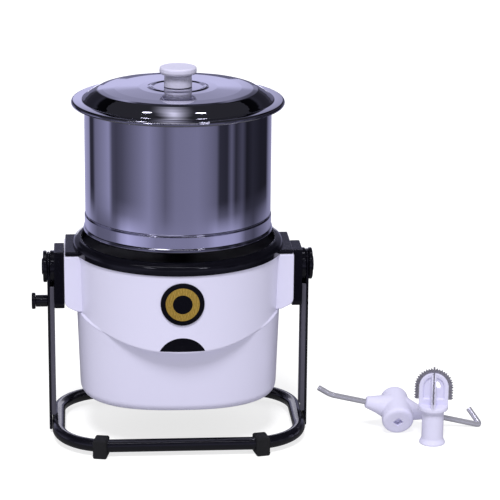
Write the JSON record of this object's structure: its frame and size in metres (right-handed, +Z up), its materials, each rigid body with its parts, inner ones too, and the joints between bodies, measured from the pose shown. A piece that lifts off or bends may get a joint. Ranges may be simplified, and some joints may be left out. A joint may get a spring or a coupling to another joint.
{
  "type": "tilting wet grinder",
  "caption": "Tabletop tilting wet grinder: steel drum with granite rollers and a lid over a motor housing, hung in a bent-tube stand, with a dough kneader and a coconut scraper beside it.",
  "frame": {"origin": "centre of the set's footprint, on the surface that it stands on", "axes": "+X to the machine's right, towards the kneader and the scraper that stand beside it; -Y towards the front with the switch and the badge; +Z up"},
  "size_m": [0.5715, 0.262, 0.47],
  "materials": {
    "white_plastic": "semi-gloss moulded plastic, white with a cool cast",
    "black_plastic": "glossy moulded black plastic",
    "black_paint": "glossy black powder coat on steel",
    "mirror_steel": "mirror-polished stainless steel",
    "steel": "plain bright steel",
    "zinc": "zinc-plated steel",
    "rubber": "matt black rubber",
    "granite": "dressed dark granite",
    "nylon": "natural nylon",
    "motor_core": "varnished steel laminations",
    "gold": "gold-coloured trim"
  },
  "bodies": {
    "stand": {"base_frame": "black_paint", "foot_front_left": "rubber", "foot_front_right": "rubber", "foot_rear_left": "rubber", "foot_rear_right": "rubber", "upright_left": "black_paint", "upright_right": "black_paint", "pivot_bolt_left": "black_plastic", "pivot_bolt_right": "black_plastic", "lock_barrel": "black_paint", "lock_spring": "steel"},
    "lock": {"lock_pin": "black_paint"},
    "housing": {"housing_upper": "white_plastic", "housing_lower": "white_plastic", "bottom_cover": "black_plastic", "collar": "black_plastic", "bracket_left": "black_plastic", "bracket_right": "black_plastic", "pivot_bush_left": "nylon", "pivot_bush_right": "nylon", "trunnion_bolt_left": "zinc", "trunnion_bolt_right": "zinc", "chassis_plate": "zinc", "post_bracket": "zinc", "centre_post": "steel", "post_nut": "zinc", "drive_belt": "rubber", "motor_frame": "motor_core", "capacitor": "nylon", "cable_gland": "black_plastic", "switch_body": "black_plastic", "badge": "black_plastic", "badge_ring": "gold"},
    "rotor": {"rotor_shaft": "steel", "cooling_fan": "nylon", "motor_pulley": "zinc"},
    "drum": {"drum_wall": "mirror_steel", "drum_base": "mirror_steel", "base_stone": "granite", "drum_hub": "steel", "hub_bearing_lower": "steel", "hub_bearing_upper": "steel", "drum_pulley": "nylon"},
    "switch": {"switch_button": "black_plastic"},
    "stone_unit": {"stone_holder": "black_plastic", "roller_axle_left": "steel", "roller_axle_right": "steel", "wiper_arm": "steel", "wiper_blade": "nylon"},
    "holder_catch": {"holder_knob": "black_plastic"},
    "left_stone": {"roller_left": "granite"},
    "right_stone": {"roller_right": "granite"},
    "lid": {"lid_shell": "mirror_steel", "lid_knob": "white_plastic", "lid_screw": "zinc"},
    "scraper": {"scraper_core": "white_plastic", "scraper_blades": "steel"},
    "kneader": {"kneader_hub": "white_plastic", "kneader_rod_left": "steel", "kneader_rod_right": "steel"}
  },
  "joints": [
    {"name": "tilt", "type": "hinge", "parent": "stand", "child": "housing", "pos_m": [-0.1027, 0, 0.217], "axis": [1, 0, 0], "range_deg": [0, 100]},
    {"name": "lock_pull", "type": "slide", "parent": "stand", "child": "lock", "axis": [-1, 0, 0], "range_m": [0, 0.008], "stiffness_N_per_m": 400, "springref_m": -0.004},
    {"name": "drum_spin", "type": "hinge", "parent": "housing", "child": "drum", "pos_m": [-0.1027, 0, 0.265], "axis": [0, 0, 1], "continuous": true},
    {"name": "rotor_spin", "type": "hinge", "parent": "housing", "child": "rotor", "pos_m": [-0.0327, 0, 0.16], "axis": [0, 0, 1], "continuous": true},
    {"name": "switch_press", "type": "slide", "parent": "housing", "child": "switch", "axis": [0, 1, 0], "range_m": [0, 0.003], "stiffness_N_per_m": 500, "springref_m": -0.002},
    {"name": "stone_lift", "type": "slide", "parent": "housing", "child": "stone_unit", "axis": [0, 0, 1], "range_m": [0, 0.03]},
    {"name": "catch_turn", "type": "hinge", "parent": "stone_unit", "child": "holder_catch", "pos_m": [-0.1027, 0, 0.3851], "axis": [0, 0, 1], "range_deg": [0, 90]},
    {"name": "left_stone_spin", "type": "hinge", "parent": "stone_unit", "child": "left_stone", "pos_m": [-0.1027, 0, 0.2901], "axis": [-0.891, 0, 0.454], "continuous": true},
    {"name": "right_stone_spin", "type": "hinge", "parent": "stone_unit", "child": "right_stone", "pos_m": [-0.1027, 0, 0.2901], "axis": [0.891, 0, 0.454], "continuous": true},
    {"name": "lid_lift", "type": "slide", "parent": "drum", "child": "lid", "axis": [0, 0, 1], "range_m": [0, 0.25]},
    {"name": "scraper_lift", "type": "slide", "parent": "stand", "child": "scraper", "axis": [0, 0, 1], "range_m": [0, 0.15]},
    {"name": "kneader_lift", "type": "slide", "parent": "stand", "child": "kneader", "axis": [0, 0, 1], "range_m": [0, 0.15]}
  ],
  "couplings": [
    {"joint": "rotor_spin", "follows": "drum_spin", "ratio": 6.9444},
    {"joint": "left_stone_spin", "follows": "drum_spin", "ratio": 2.2027},
    {"joint": "right_stone_spin", "follows": "drum_spin", "ratio": 2.2027}
  ]
}
